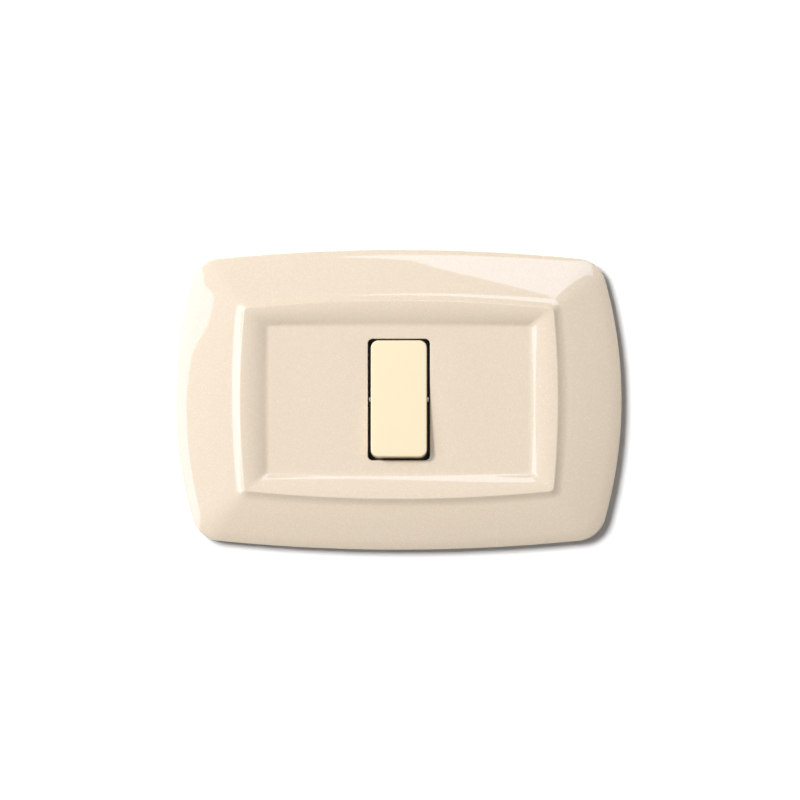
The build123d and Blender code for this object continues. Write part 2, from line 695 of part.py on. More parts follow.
def terminal_screw(sign):
    """The clamp screw and its captive plate, at the upper (1) or lower (-1) end of the module."""
    plate_z = FLANGE_Z + FLANGE_THICK + CLAMP_OPENING
    head_z = plate_z + CLAMP_THICK
    with BuildPart() as plate:
        with BuildSketch(Plane.XY.offset(sign * plate_z)):
            with Locations((0, -TERMINAL_SCREW_HEIGHT)):
                RectangleRounded(2 * TERMINAL_HALF_X, 7.6, 0.6)
                Circle(SCREW_R + 0.05, mode=Mode.SUBTRACT)
        extrude(amount=sign * CLAMP_THICK)
    with BuildPart() as screw:
        with BuildSketch(Plane.XY.offset(sign * TERMINAL_SCREW_END)):
            with Locations((0, -TERMINAL_SCREW_HEIGHT)):
                Circle(SCREW_R)
        extrude(amount=sign * (head_z - TERMINAL_SCREW_END))
        chamfer(screw.faces().sort_by(Axis.Z)[0 if sign > 0 else -1].edges(), 0.5)
        with BuildSketch(Plane.XY.offset(sign * head_z)):
            with Locations((0, -TERMINAL_SCREW_HEIGHT)):
                Circle(TERMINAL_HEAD_R)
        extrude(amount=sign * TERMINAL_HEAD_THICK)
        fillet(screw.faces().sort_by(Axis.Z)[-1 if sign > 0 else 0].edges(), 0.6)
        with BuildSketch(Plane.XY.offset(sign * (head_z + TERMINAL_HEAD_THICK - DRIVE_SLOT[1]))):
            with Locations((0, -TERMINAL_SCREW_HEIGHT)):
                Rectangle(2 * TERMINAL_HEAD_R + 1, DRIVE_SLOT[0])
        extrude(amount=sign * 2, mode=Mode.SUBTRACT)
    return plate.part, screw.part


for end, name in ((1, "load"), (-1, "line")):
    clamp_plate, clamp_screw = terminal_screw(end)
    save(clamp_plate, f"{name}_clamp_plate")
    save(clamp_screw, f"{name}_terminal_screw")
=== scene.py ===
"""Looks of the wall switch: pearl-ivory cover plate, satin key, mechanism, wall, lights and camera.

Lengths are written in millimetres, as in the CAD, and turned into metres where a mesh is made. A height is a
distance out from the wall's surface, so a height h lies at y = -h.
"""

import math

import bmesh
import bpy
from mathutils import Matrix, Vector


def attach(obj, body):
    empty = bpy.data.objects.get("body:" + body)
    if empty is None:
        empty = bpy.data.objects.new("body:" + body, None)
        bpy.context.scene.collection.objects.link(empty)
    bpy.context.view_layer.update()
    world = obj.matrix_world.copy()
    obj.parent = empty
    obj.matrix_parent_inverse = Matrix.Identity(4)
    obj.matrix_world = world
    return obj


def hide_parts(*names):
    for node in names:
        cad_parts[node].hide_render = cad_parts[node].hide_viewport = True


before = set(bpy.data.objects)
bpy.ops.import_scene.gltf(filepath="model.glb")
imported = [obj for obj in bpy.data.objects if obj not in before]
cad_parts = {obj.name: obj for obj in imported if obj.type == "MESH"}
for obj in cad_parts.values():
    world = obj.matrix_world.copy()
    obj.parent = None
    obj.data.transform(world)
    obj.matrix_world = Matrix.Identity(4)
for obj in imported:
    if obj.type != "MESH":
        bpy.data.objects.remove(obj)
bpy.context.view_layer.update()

MM = 0.001

# --- the plate's dimensions ---------------------------------------------------------------------------------

# Outline: half width and half height at the middle of each side, the same at the corner, corner radius.
RIM = (60.0, 40.45, 54.0, 37.45, 8.1)
RIDGE = (42.8, 26.7, 41.6, 24.6, 1.35)
FLOOR = (34.8, 19.4, 34.8, 19.4, 1.0)
WINDOW = (8.35, 16.35, 8.35, 16.35, 1.3)
RIM_SIDE = 3.0  # height of the rim's upright side
RIM_TOP = 3.4  # height where the rim's small round ends
# Slope of the outside at distances in from the rim; it changes evenly between them.
SLOPES = ((0.4, 0.42), (3.6, 0.25), (14.3, 0.17), (17.2, 0.645))
FLOOR_HEIGHT = 6.2
PLATE_WALL = 1.9
RIM_TO_RIDGE = RIM[0] - RIDGE[0]
FOOT_RUN = SLOPES[2][0]
PAN_LOW = FLOOR_HEIGHT - PLATE_WALL

# --- the rocker's dimensions --------------------------------------------------------------------------------

PIVOT_HEIGHT = 4.3
PIN_R = 1.1
TILT = 5.5  # degrees that the rocker stands off level
KEY_FACE = 7.75
KEY = (7.55, 15.75, 7.55, 15.75, 2.1)  # as the outlines above
KEY_SKIRT_END = 2.6
KEY_WALL = 1.5

# how finely outlines are drawn: points along each side, and round each corner
SIDE_POINTS = 40
CORNER_POINTS = 14

WELD_DISTANCE = 1e-5
BEVEL_STEPS = 2
BEVEL_ANGLE = 35  # degrees; blunter edges are not bevelled
SHARP_ANGLE = 38  # degrees; blunter edges are shaded smooth

# the thread of the box screws and the terminal screws
THREAD_R = 1.75
THREAD_DEPTH = 0.32
THREAD_PITCH = 0.6
THREAD_FLANK = 1.35  # how steep the flanks are: above 1 leaves a flat at the root
THREAD_ROWS = 8  # rows of faces for each turn
THREAD_SEGMENTS = 28


# --- outlines and meshes ------------------------------------------------------------------------------------


def mix(first, second, share):
    """The tuple a share of the way from the first to the second."""
    return tuple(a + (b - a) * share for a, b in zip(first, second))


def grown(outline, amount):
    """An outline moved outwards all round, in millimetres."""
    mid_x, mid_z, corner_x, corner_z, radius = outline
    return (mid_x + amount, mid_z + amount, corner_x + amount, corner_z + amount, max(radius + amount, 0.2))


def quarter(outline):
    """The upper right corner's arc: its centre, start and end angle; then the side's and the top's arcs."""
    mid_x, mid_z, corner_x, corner_z, radius = outline
    bow_x = mid_x - corner_x
    bow_z = mid_z - corner_z
    if bow_x < WELD_DISTANCE or bow_z < WELD_DISTANCE:
        return (corner_x - radius, corner_z - radius), 0.0, math.pi / 2, None, None
    side_radius = (corner_z**2 + bow_x**2) / (2 * bow_x)
    top_radius = (corner_x**2 + bow_z**2) / (2 * bow_z)
    side_centre = Vector((mid_x - side_radius, 0))
    top_centre = Vector((0, mid_z - top_radius))
    # the corner's centre lies inside the side's arc and the top's arc by its own radius
    to_side, to_top = side_radius - radius, top_radius - radius
    between = top_centre - side_centre
    length = between.length
    along = (to_side**2 - to_top**2 + length**2) / (2 * length)
    across = math.sqrt(to_side**2 - along**2)
    unit = between / length
    normal = Vector((-unit.y, unit.x))
    centre = side_centre + unit * along + normal * across
    if centre.x < 0 or centre.y < 0:
        centre = side_centre + unit * along - normal * across
    start = math.atan2(*(centre - side_centre).yx)
    end = math.atan2(*(centre - top_centre).yx)
    return tuple(centre), start, end, (side_centre, side_radius), (top_centre, top_radius)


def ring(outline):
    """The outline as points (x, z), with the same number of points whatever its shape."""
    centre, start, end, side, top = quarter(outline)
    radius = outline[-1]
    corner = []
    for i in range(CORNER_POINTS + 1):
        angle = start + (end - start) * i / CORNER_POINTS
        corner.append((centre[0] + radius * math.cos(angle), centre[1] + radius * math.sin(angle)))
    low, high = corner[0], corner[-1]

    def stretch(arc, first, last, count):
        if arc is None:
            return [mix(first, last, i / count) for i in range(1, count)]
        middle, arc_radius = arc
        a = math.atan2(first[1] - middle.y, first[0] - middle.x)
        b = math.atan2(last[1] - middle.y, last[0] - middle.x)
        angles = [a + (b - a) * i / count for i in range(1, count)]
        return [(middle.x + arc_radius * math.cos(t), middle.y + arc_radius * math.sin(t)) for t in angles]

    right = stretch(side, (low[0], -low[1]), low, SIDE_POINTS)
    over = stretch(top, high, (-high[0], high[1]), SIDE_POINTS)
    half = right + corner + over + [(-x, z) for x, z in reversed(corner)]
    return half + [(-x, -z) for x, z in half]


def bend(before, corner, after, steps):
    """Stations that round off a corner station: a quadratic curve from before to after."""
    result = []
    for i in range(steps + 1):
        t = i / steps
        weights = ((1 - t) ** 2, 2 * t * (1 - t), t * t)
        outline = tuple(
            weights[0] * a + weights[1] * c + weights[2] * b
            for a, c, b in zip(before[0], corner[0], after[0])
        )
        height = weights[0] * before[1] + weights[1] * corner[1] + weights[2] * after[1]
        result.append((outline, height))
    return result


def in_scene(name, data):
    """An object in the scene that holds a mesh, a light or a camera."""
    obj = bpy.data.objects.new(name, data)
    bpy.context.scene.collection.objects.link(obj)
    return obj


def mesh_of(name, bm):
    """A mesh from a bmesh, which is used up: doubled corners are merged and faces look outwards."""
    bmesh.ops.remove_doubles(bm, verts=bm.verts, dist=WELD_DISTANCE)
    bmesh.ops.recalc_face_normals(bm, faces=bm.faces)
    mesh = bpy.data.meshes.new(name)
    bm.to_mesh(mesh)
    bm.free()
    return mesh


def skinned(bm, rings):
    """Four-sided faces between each ring of corners and the next."""
    for lower, upper in zip(rings, rings[1:]):
        count = len(lower)
        for i in range(count):
            j = (i + 1) % count
            bm.faces.new((lower[i], lower[j], upper[j], upper[i]))


def lofted(bm, stations, closed=False):
    """Rings of faces through (outline, height) stations. Returns the last ring's corners."""
    rings = []
    for outline, height in stations:
        rings.append([bm.verts.new((x, -height, z)) for x, z in ring(outline)])
    skinned(bm, rings + rings[:1] if closed else rings)
    return rings[-1]


def capped(bm, ring_verts):
    """Closes a ring of corners with triangles round its middle."""
    middle = bm.verts.new(sum((v.co for v in ring_verts), Vector()) / len(ring_verts))
    for i, vert in enumerate(ring_verts):
        bm.faces.new((vert, ring_verts[(i + 1) % len(ring_verts)], middle))


def bar(bm, low, high):
    """A closed bar between two rings of corner places."""
    ends = [[bm.verts.new(place) for place in places] for places in (low, high)]
    skinned(bm, ends)
    for end in ends:
        bm.faces.new(end)


def prism(bm, section, start, end):
    """A straight bar along X whose section is points (height, z)."""
    low, high = [[(x, -height, z) for height, z in section] for x in (start, end)]
    bar(bm, low, high)


def circle(bm, middle, axis, radii):
    """A ring of corners round an axis, one for each radius."""
    side = axis.orthogonal().normalized()
    other = axis.cross(side)
    corners = []
    for i, radius in enumerate(radii):
        a = 2 * math.pi * i / len(radii)
        corners.append(bm.verts.new(middle + (side * math.cos(a) + other * math.sin(a)) * radius))
    return corners


def lathe(bm, profile, centre, axis, segments):
    """A turned solid from (radius, distance along the axis) points, closed at both ends."""
    rings = []
    for radius, distance in profile:
        rings.append(circle(bm, Vector(centre) + axis * distance, axis, [radius] * segments))
    skinned(bm, rings)
    capped(bm, rings[0])
    capped(bm, rings[-1])


def threaded(bm, centre, axis, start, end):
    """A screw's thread: rows along the axis, each corner's radius set by where the helix passes."""
    rows = int((end - start) / THREAD_PITCH * THREAD_ROWS)
    rings = []
    for row in range(rows + 1):
        distance = start + (end - start) * row / rows
        fade = max(min(1.0, (end - distance) / THREAD_PITCH, (distance - start) / THREAD_PITCH), 0.0)
        radii = []
        for i in range(THREAD_SEGMENTS):
            phase = (distance / THREAD_PITCH - i / THREAD_SEGMENTS) % 1.0
            flank = min(abs(2 * phase - 1) * THREAD_FLANK, 1.0)
            radii.append(THREAD_R - THREAD_DEPTH * flank * fade)
        rings.append(circle(bm, Vector(centre) + axis * distance, axis, radii))
    skinned(bm, rings)
    capped(bm, rings[0])
    capped(bm, rings[-1])


def shaped(bm, cutters=(), bevel=0.0):
    """A bmesh after the cutters are taken away and its edges are rounded. All of them are used up."""
    obj, *cutters = [in_scene("loose", mesh_of("loose", item)) for item in (bm, *cutters)]
    for cutter in cutters:
        cut = obj.modifiers.new("cut", "BOOLEAN")
        cut.operation = "DIFFERENCE"
        cut.solver = "EXACT"
        cut.object = cutter
    if bevel:
        edge = obj.modifiers.new("edge", "BEVEL")
        edge.width = bevel
        edge.segments = BEVEL_STEPS
        edge.limit_method = "ANGLE"
        edge.angle_limit = math.radians(BEVEL_ANGLE)
        edge.harden_normals = False
    graph = bpy.context.evaluated_depsgraph_get()
    mesh = bpy.data.meshes.new_from_object(obj.evaluated_get(graph))
    bm = bmesh.new()
    bm.from_mesh(mesh)
    bpy.data.meshes.remove(mesh)
    for item in (obj, *cutters):
        bpy.data.objects.remove(item)
    return bm


def tilted(bm):
    """Turns a piece of the rocker from level to where the rocker stands at rest."""
    turn = Matrix.Rotation(math.radians(-TILT), 3, "X")
    bmesh.ops.rotate(bm, verts=bm.verts, cent=(0, -PIVOT_HEIGHT, 0), matrix=turn)


def fitted(name, bm, material, nodes, body):
    """Puts a finished piece in the scene, in metres, in place of CAD nodes and riding on a body."""
    mesh = mesh_of(name, bm)
    mesh.transform(Matrix.Scale(MM, 4))
    mesh.materials.append(material)
    mesh.polygons.foreach_set("use_smooth", [True] * len(mesh.polygons))
    mesh.set_sharp_from_angle(angle=math.radians(SHARP_ANGLE))
    obj = in_scene(name, mesh)
    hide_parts(*nodes)
    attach(obj, body)


# --- materials ----------------------------------------------------------------------------------------------


class Nodes:
    """A material's node tree, with short calls to add a node and to join two."""

    def __init__(self, name):
        self.material = bpy.data.materials.new(name)
        self.material.use_nodes = True
        self.tree = self.material.node_tree
        self.tree.nodes.clear()
        self.shader = self.add("ShaderNodeBsdfPrincipled")
        output = self.add("ShaderNodeOutputMaterial")
        self.join(self.shader, "BSDF", output, "Surface")
        self.place = self.add("ShaderNodeTexCoord")

    def add(self, kind, **values):
        """Adds a node and sets its inputs; an underscore in a name stands for a space."""
        node = self.tree.nodes.new(kind)
        for name, value in values.items():
            node.inputs[name.replace("_", " ")].default_value = value
        return node

    def join(self, source, output, target, input_name):
        self.tree.links.new(source.outputs[output], target.inputs[input_name])

    def noise(self, scale, detail=2.0):
        node = self.add("ShaderNodeTexNoise", Scale=scale, Detail=detail)
        self.join(self.place, "Object", node, "Vector")
        return node

    def ramp(self, source, output, stops):
        """Colours at places between 0 and 1, picked by the source."""
        node = self.add("ShaderNodeValToRGB")
        self.join(source, output, node, "Fac")
        elements = node.color_ramp.elements
        for _ in stops[len(elements):]:
            elements.new(0.5)
        for element, (position, colour) in zip(elements, stops):
            element.position = position
            element.color = (*colour, 1.0)
        return node

    def paint(self, source, output, stops):
        """The shader's colour, picked by the source."""
        self.join(self.ramp(source, output, stops), "Color", self.shader, "Base Color")

    def polish(self, source, low, high):
        """The shader's roughness, between two values with the source."""
        node = self.add("ShaderNodeMapRange", To_Min=low, To_Max=high)
        self.join(source, "Fac", node, "Value")
        self.join(node, "Result", self.shader, "Roughness")

    def bump(self, source, strength, distance):
        node = self.add("ShaderNodeBump", Strength=strength, Distance=distance)
        self.join(source, "Fac", node, "Height")
        self.join(node, "Normal", self.shader, "Normal")

    def finish(self, **values):
        """Sets values on the shader's own sockets; an underscore in a name stands for a space."""
        for name, value in values.items():
            self.shader.inputs[name.replace("_", " ")].default_value = value


def shade(colour, factor):
    return tuple(min(max(c * factor, 0.0), 1.0) for c in colour)


def mottled(colour, amount):
    """Stops of a ramp from a little darker to a little lighter than a colour."""
    return [(0.3, shade(colour, 1 - amount)), (0.7, shade(colour, 1 + amount))]


def plastic(name, colour, roughness, grain_mm, grain=0.06, texture=0.4, specular=0.5):
    """Moulded plastic: a little mottling, a fine surface texture and uneven polish."""
    nodes = Nodes(name)
    fine = nodes.noise(1.0 / (grain_mm * MM), detail=3.0)
    nodes.paint(fine, "Fac", mottled(colour, grain))
    nodes.polish(nodes.noise(60.0), roughness * 0.85, roughness * 1.15)
    nodes.bump(fine, texture, 0.02 * MM)
    nodes.finish(Specular_IOR_Level=specular)
    return nodes.material


def metal(name, colour, roughness, streak=0.15):
    """Sheet or turned metal: fine streaks along one direction, and patches of duller finish."""
    nodes = Nodes(name)
    stretch = nodes.add("ShaderNodeMapping", Scale=(1.0, 12.0, 1.0))
    nodes.join(nodes.place, "Object", stretch, "Vector")
    lines = nodes.add("ShaderNodeTexNoise", Scale=900.0, Detail=3.0)
    nodes.join(stretch, "Vector", lines, "Vector")
    nodes.paint(lines, "Fac", mottled(colour, streak))
    nodes.polish(nodes.noise(220.0, detail=4.0), roughness * 0.7, roughness * 1.4)
    nodes.bump(lines, 0.15, 0.01 * MM)
    nodes.finish(Metallic=1.0)
    return nodes.material


FLAKE_MM = 0.25  # size of the pearl's mica flakes


def pearl(name, colour):
    """Pearl plastic: ivory with fine mica flakes that throw back a wide cool sheen, under a clear gloss."""
    nodes = Nodes(name)
    flakes = nodes.add("ShaderNodeTexVoronoi", Scale=1.0 / (FLAKE_MM * MM))
    nodes.join(nodes.place, "Object", flakes, "Vector")
    split = nodes.add("ShaderNodeSeparateColor")
    nodes.join(flakes, "Color", split, "Color")
    nodes.paint(split, "Red", [(0.0, shade(colour, 0.95)), (0.75, colour), (1.0, shade(colour, 1.06))])
    nodes.polish(nodes.noise(45.0), 0.58, 0.62)
    nodes.finish(IOR=2.0, Specular_IOR_Level=0.6, Specular_Tint=(0.70, 0.84, 1.0, 1.0))
    nodes.finish(Coat_Weight=1.0, Coat_Roughness=0.03, Coat_IOR=1.9)
    return nodes.material


IVORY = (0.905, 0.718, 0.508)
CREAM = (0.945, 0.770, 0.505)

pearl_ivory = pearl("pearl_ivory", IVORY)
satin_cream = plastic("satin_cream", CREAM, 0.42, 0.35, grain=0.012, texture=0.12)
black_plastic = plastic(
    "black_plastic", (0.004, 0.004, 0.005), 0.5, 0.4, grain=0.2, texture=0.3, specular=0.2
)
grey_plastic = plastic("grey_plastic", (0.10, 0.10, 0.105), 0.5, 0.5, grain=0.1)
frame_plastic = plastic("frame_plastic", (0.33, 0.34, 0.35), 0.5, 0.5)
white_plastic = plastic("white_plastic", (0.62, 0.60, 0.54), 0.45, 0.5, grain=0.05, texture=0.3)
blue_plastic = plastic("blue_plastic", (0.05, 0.12, 0.30), 0.35, 0.4, grain=0.05, texture=0.2)
zinc = metal("zinc_plate", (0.62, 0.63, 0.64), 0.32)
nickel = metal("nickel_plate", (0.66, 0.62, 0.54), 0.28)
copper = metal("copper_alloy", (0.72, 0.42, 0.28), 0.30)
brass = metal("brass_sheet", (0.76, 0.57, 0.25), 0.30)
silver = metal("silver_alloy", (0.86, 0.85, 0.82), 0.25)
spring_steel = metal("spring_steel", (0.50, 0.50, 0.52), 0.22)

CAD_FINISH = {
    "module_front": black_plastic,
    "module_base": grey_plastic,
    "support_frame": frame_plastic,
    "rocker_cradle": white_plastic,
    "plunger": blue_plastic,
    "box_screws": zinc,
    "pivot_pin": zinc,
    "line_clamp_plate": zinc,
    "load_clamp_plate": zinc,
    "line_terminal_screw": zinc,
    "load_terminal_screw": zinc,
    "housing_rivets": nickel,
    "contact_arm": copper,
    "line_terminal": brass,
    "load_terminal": brass,
    "moving_contact": silver,
    "fixed_contact": silver,
    "plunger_spring": spring_steel,
    "cover_plate": pearl_ivory,
    "rocker_key": satin_cream,
}
for node, finish in CAD_FINISH.items():
    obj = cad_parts[node]
    obj.data.materials.clear()
    obj.data.materials.append(finish)


# --- cover plate --------------------------------------------------------------------------------------------


def outer_station(run, height):
    return mix(RIM, RIDGE, run / RIM_TO_RIDGE), height


def outer_height(run):
    """Height of the outside at a distance in from the rim, past the rim's small round."""
    height = RIM_TOP
    for (start, first), (end, last) in zip(SLOPES, SLOPES[1:]):
        u = min(run, end) - start
        height += first * u + (last - first) * u**2 / (end - start) / 2
        if run <= end:
            break
    return height


FOOT_HEIGHT = outer_height(FOOT_RUN)
RIDGE_HEIGHT = outer_height(RIM_TO_RIDGE)
HOLLOW_AT_RIDGE = RIDGE_HEIGHT - PLATE_WALL
PAN_EDGE = 1.2  # how far the pan's flat back reaches past its front
CREST = 0.22  # how far the ridge's rounding reaches to either side
FOOT_EASE = 0.25  # size of the small round where the rim meets the wall
WINDOW_EASE = 0.35  # size of the round on the window's edge
RECESS_WIDTH = RIDGE[0] - FLOOR[0]
RECESS_DEPTH = RIDGE_HEIGHT - FLOOR_HEIGHT
RECESS_EASE = 0.86  # how much its slopes ease off towards the ridge: 0 is straight, 1 ends level
FLOOR_FILLET = 0.175  # share of the slopes' width that their concave start takes
FILLET_RISE = 0.16 * RECESS_DEPTH
OUTER_STEPS = 46
RECESS_STEPS = 24


def recess(share):
    """The station a share of the way from the recess floor's edge (0) to the ridge (1)."""
    if share < FLOOR_FILLET:
        height = FILLET_RISE * (share / FLOOR_FILLET) ** 2
    else:
        u = (share - FLOOR_FILLET) / (1 - FLOOR_FILLET)
        height = FILLET_RISE + (RECESS_DEPTH - FILLET_RISE) * ((1 + RECESS_EASE) * u - RECESS_EASE * u**2)
    return mix(FLOOR, RIDGE, share), FLOOR_HEIGHT + height


def plate_front():
    """Stations over the front of the plate, from the wall to the window's edge."""
    start, slope = SLOPES[0]
    stations = [(grown(RIM, -FOOT_EASE), 0.0), (RIM, FOOT_EASE), outer_station(0, RIM_SIDE / 2)]
    rim_corner = outer_station(0, RIM_TOP - slope * start)
    stations += bend(outer_station(0, RIM_SIDE), rim_corner, outer_station(start, RIM_TOP), 8)
    length = RIM_TO_RIDGE - CREST - start
    for step in range(1, OUTER_STEPS + 1):
        run = start + length * step / OUTER_STEPS
        stations.append(outer_station(run, outer_height(run)))
    inside = 1 - CREST / RECESS_WIDTH
    stations = stations[:-1] + bend(stations[-1], (RIDGE, RIDGE_HEIGHT), recess(inside), 6)
    for step in range(1, RECESS_STEPS + 1):
        stations.append(recess(inside * (1 - step / RECESS_STEPS)))
    edge = grown(WINDOW, WINDOW_EASE)
    for share in (0.33, 0.66):
        stations.append((mix(FLOOR, edge, share), FLOOR_HEIGHT))
    under_edge = (WINDOW, FLOOR_HEIGHT - WINDOW_EASE)
    stations += bend((edge, FLOOR_HEIGHT), (WINDOW, FLOOR_HEIGHT), under_edge, 6)
    stations.append((WINDOW, PAN_LOW))
    return stations


def plate_back():
    """Stations over the hollow back of the plate, from the window to the wall."""
    return [
        (grown(FLOOR, PAN_EDGE), PAN_LOW),
        (mix(FLOOR, RIDGE, 0.8), HOLLOW_AT_RIDGE),
        (grown(RIDGE, -0.3), HOLLOW_AT_RIDGE),
        (grown(mix(RIM, RIDGE, FOOT_RUN / RIM_TO_RIDGE), -0.4), FOOT_HEIGHT - PLATE_WALL),
        (grown(RIM, -PLATE_WALL), RIM_SIDE - 0.3),
        (grown(RIM, -PLATE_WALL), 0.0),
    ]


HOOK_PLACES = [(x, z) for x in (-29.0, 29.0) for z in (-22.0, 22.0)]
HOOK_WIDTH = 6.0
HOOK_THICK = 1.2
HOOK_END = 0.3  # height of the hooks' free ends
HOOK_BARB = 0.7
BARB_FULL = 0.9  # height where the barb stands out fully
BARB_TOP = 1.3
HOOK_ROOT = PAN_LOW + 1.0  # the hooks grow out of the pan from here


def make_plate():
    bm = bmesh.new()
    lofted(bm, plate_front() + plate_back(), closed=True)
    fitted("cover_shell", bm, pearl_ivory, ["cover_plate"], "housing")
    bm = bmesh.new()
    for x, z in HOOK_PLACES:
        out = math.copysign(1.0, z)
        inner, outer = z - out * HOOK_THICK / 2, z + out * HOOK_THICK / 2
        section = [
            (HOOK_ROOT, inner),
            (HOOK_END, inner),
            (HOOK_END, outer),
            (BARB_FULL, outer + out * HOOK_BARB),
            (BARB_TOP, outer + out * HOOK_BARB),
            (BARB_TOP, outer),
            (HOOK_ROOT, outer),
        ]
        prism(bm, section, x - HOOK_WIDTH / 2, x + HOOK_WIDTH / 2)
    bm = shaped(bm, bevel=0.1)
    fitted("cover_hooks", bm, pearl_ivory, ["cover_plate"], "housing")


make_plate()


# --- rocker key ---------------------------------------------------------------------------------------------

KEY_EDGE = 0.42
KEY_CROWN = 0.06  # how far the middle of the key's face stands proud of its edges
KEY_SKIRT_WALL = 1.2
KEY_INSIDE = grown(KEY, -KEY_SKIRT_WALL)
KEY_DRAFT = 0.05  # how much narrower the inside is at its roof
ROOF = KEY_FACE - KEY_WALL
PIN_ROOM = PIN_R + 0.2
CLIP_Z = 13.2
CLIP_THICK = 0.9
CLIP_HALF_WIDTH = 3.0
CLIP_END = 0.9  # height of the clips' free ends
CLIP_CATCH = 1.75  # height of their catches, just under the cradle's edge
CATCH_DEPTH = 0.6
CLIP_ROOT = ROOF + 0.2


def make_key_shell():
    """The key's hollow cap, notched for the pivot pin."""
    edge_face = KEY_FACE - KEY_CROWN
    face_start = edge_face + 0.02
    stations = [
        (KEY_INSIDE, KEY_SKIRT_END),
        (grown(KEY, -0.15), KEY_SKIRT_END),
        (KEY, KEY_SKIRT_END + 0.15),
    ]
    stations += [(KEY, height) for height in (3.6, 4.8, 6.0)]
    stations += bend((KEY, edge_face - KEY_EDGE), (KEY, edge_face), (grown(KEY, -KEY_EDGE), face_start), 9)
    for share in (0.15, 0.3, 0.45, 0.6, 0.75, 0.9):
        inset = KEY_EDGE + share * (KEY[0] - KEY_EDGE - 0.3)
        rise = 0.8 * KEY_CROWN * (1 - (1 - share) ** 2)
        stations.append((grown(KEY, -inset), face_start + rise))
    bm = bmesh.new()
    capped(bm, lofted(bm, stations))
    capped(bm, lofted(bm, [(KEY_INSIDE, KEY_SKIRT_END), (grown(KEY, -KEY_SKIRT_WALL - KEY_DRAFT), ROOF)]))
    reach = KEY[0] + 1
    round_end = bmesh.new()
    lathe(round_end, [(PIN_ROOM, -reach), (PIN_ROOM, reach)], (0, -PIVOT_HEIGHT, 0), Vector((1, 0, 0)), 40)
    low = KEY_SKIRT_END - 1
    section = [(low, -PIN_ROOM), (PIVOT_HEIGHT, -PIN_ROOM), (PIVOT_HEIGHT, PIN_ROOM), (low, PIN_ROOM)]
    slot = bmesh.new()
    prism(slot, section, -reach, reach)
    bm = shaped(bm, [round_end, slot])
    tilted(bm)
    fitted("key_shell", bm, satin_cream, ["rocker_key"], "rocker")


def make_key_clips():
    bm = bmesh.new()
    for sign in (-1, 1):
        inner, outer = sign * (CLIP_Z - CLIP_THICK / 2), sign * (CLIP_Z + CLIP_THICK / 2)
        section = [
            (CLIP_ROOT, inner),
            (CLIP_CATCH, inner),
            (CLIP_CATCH, inner - sign * CATCH_DEPTH),
            (CLIP_END, inner),
            (CLIP_END, outer),
            (CLIP_ROOT, outer),
        ]
        prism(bm, section, -CLIP_HALF_WIDTH, CLIP_HALF_WIDTH)
    bm = shaped(bm, bevel=0.08)
    tilted(bm)
    fitted("key_clips", bm, satin_cream, ["rocker_key"], "rocker")


make_key_shell()
make_key_clips()


# --- screws and spring --------------------------------------------------------------------------------------

DRIVE_SLOT = (0.9, 1.1)  # width and depth of a screwdriver slot
SHANK_SEGMENTS = 32
HEAD_SEGMENTS = 56

BOX_SCREW_X = 83.5 / 2
BOX_SEAT = 3.0  # height of the surface that the heads stand on
BOX_HEAD = (3.2, 1.9, 0.9)  # radius, thickness, and size of the rounded edge
BOX_TURN = 20.0  # degrees that the slots stand off level

# each screw's parts as distances along its axis, and (radius, distance) profiles
BOX_THREAD = (-21.2, 1.2)
BOX_POINT = [(0.9, -22.0), (1.43, -21.3), (1.43, -20.9)]
BOX_NECK = [(1.5, 1.0), (1.5, BOX_SEAT + 0.2)]

TERMINAL_DEPTH = 23.0  # how far the terminal screws' axes lie behind the wall's surface
TERMINAL_SEAT = 16.2
TERMINAL_HEAD = (3.0, 2.2, 0.6)
TERMINAL_THREAD = (9.3, 15.4)
TERMINAL_POINT = [(0.9, 8.6), (1.43, 9.2), (1.43, 9.5)]
TERMINAL_NECK = [(1.6, 15.2), (1.6, TERMINAL_SEAT + 0.1)]

CHAMFER = 0.25
ROUND_STEPS = 6


def head_profile(radius, thick, edge):
    """A screw head's profile as (radius, distance) from its seat to its rounded top."""
    profile = [(radius - CHAMFER, 0.0), (radius, CHAMFER)]
    for step in range(ROUND_STEPS + 1):
        a = math.pi / 2 * step / ROUND_STEPS
        profile.append((radius - edge * (1 - math.cos(a)), thick - edge * (1 - math.sin(a))))
    profile.append((radius * 0.4, thick))
    return profile


def slotted_head(bm, size, seat, axis, across):
    """Adds a head that stands on seat to a bmesh, with a slot that runs across."""
    radius, thick, edge = size
    head = bmesh.new()
    lathe(head, head_profile(radius, thick, edge), seat, axis, HEAD_SEGMENTS)
    width, depth = DRIVE_SLOT
    top = Vector(seat) + axis * thick
    along, aside = across * (radius * 1.3), axis.cross(across) * (width / 2)
    outline = [top - along - aside, top + along - aside, top + along + aside, top - along + aside]
    cutter = bmesh.new()
    bar(cutter, [corner - axis * depth for corner in outline], [corner + axis for corner in outline])
    head = shaped(head, [cutter])
    mesh = bpy.data.meshes.new("head")
    head.to_mesh(mesh)
    head.free()
    bm.from_mesh(mesh)
    bpy.data.meshes.remove(mesh)


def make_box_screws():
    bm = bmesh.new()
    out = Vector((0, -1, 0))
    turn = math.radians(BOX_TURN)
    for x in (-BOX_SCREW_X, BOX_SCREW_X):
        threaded(bm, (x, 0, 0), out, *BOX_THREAD)
        lathe(bm, BOX_POINT, (x, 0, 0), out, THREAD_SEGMENTS)
        lathe(bm, BOX_NECK, (x, 0, 0), out, SHANK_SEGMENTS)
        slotted_head(bm, BOX_HEAD, (x, -BOX_SEAT, 0), out, Vector((math.cos(turn), 0, math.sin(turn))))
    fitted("box_screw_pair", bm, zinc, ["box_screws"], "housing")


